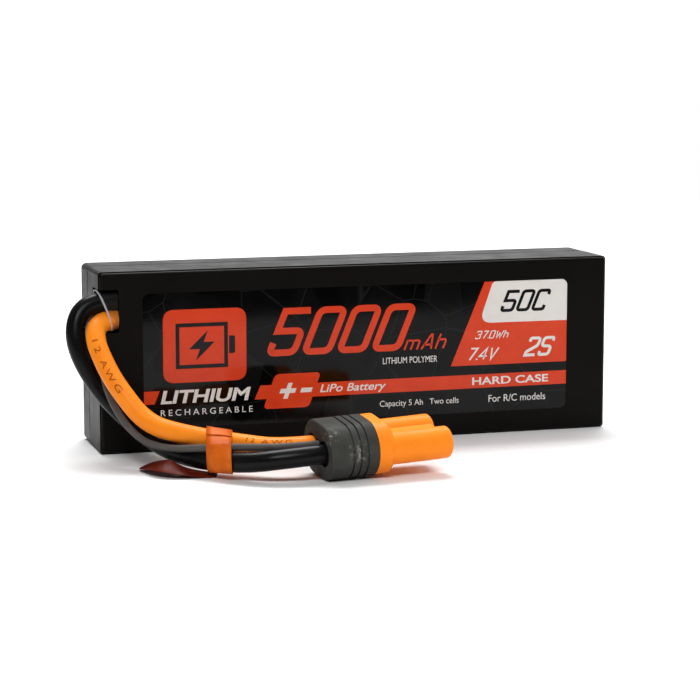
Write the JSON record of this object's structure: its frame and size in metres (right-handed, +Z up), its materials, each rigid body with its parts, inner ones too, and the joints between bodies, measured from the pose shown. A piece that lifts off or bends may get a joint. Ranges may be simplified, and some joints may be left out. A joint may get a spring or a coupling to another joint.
{
  "type": "lipo battery pack",
  "caption": "Hard-case lithium battery pack with round power leads, a thin data lead and a two-socket plug, for powering a radio-controlled model.",
  "frame": {"origin": "middle of the case's underside, where the pack stands on its long narrow side", "axes": "+X along the case away from the lead exit, -Y out of the label face, +Z up"},
  "size_m": [0.1476, 0.0783, 0.047],
  "materials": {
    "case_plastic": "satin",
    "label_front": "glossy printed film",
    "label_rear": "glossy printed film",
    "cell_pouch": "satin foil",
    "foam": "matte foam",
    "tab_metal": "satin plated",
    "board": "satin",
    "chip_plastic": "matte",
    "capacitor_body": "satin",
    "ribbon": "satin",
    "tinned_wire": "satin stranded",
    "solder": "bright",
    "lead_orange": "satin silicone",
    "lead_black": "satin silicone",
    "lead_data": "matte",
    "sleeve": "clear shrunk film",
    "flag_film": "thin see-through film",
    "boot_rubber": "satin scuffed",
    "plug_plastic": "satin",
    "gold": "polished plating"
  },
  "bodies": {
    "root": {"front_shell": "case_plastic", "rear_shell": "case_plastic", "front_label": "label_front", "rear_label": "label_rear", "cell_front": "cell_pouch", "cell_rear": "cell_pouch", "cell_spacer": "foam", "pad_front": "foam", "pad_rear": "foam", "pad_base": "foam", "pad_top": "foam", "pad_end": "foam", "tab_positive": "tab_metal", "tab_negative": "tab_metal", "tab_series_front": "tab_metal", "tab_series_rear": "tab_metal", "series_link": "tab_metal", "tab_board": "board", "monitor_chip": "chip_plastic", "board_capacitors": "capacitor_body", "data_ribbon": "ribbon", "stub_positive": "tinned_wire", "stub_negative": "tinned_wire", "stub_data": "tinned_wire", "strand_positive": "tinned_wire", "strand_negative": "tinned_wire", "solder_positive": "solder", "solder_negative": "solder", "temperature_sensor": "chip_plastic", "sensor_lead": "ribbon", "lead_positive": "lead_orange", "lead_negative": "lead_black", "lead_data": "lead_data", "exit_sleeve": "sleeve", "cable_flag": "flag_film", "plug_boot": "boot_rubber", "plug_housing": "plug_plastic", "socket_positive": "gold", "socket_negative": "gold", "data_contact": "gold"}
  },
  "joints": []
}
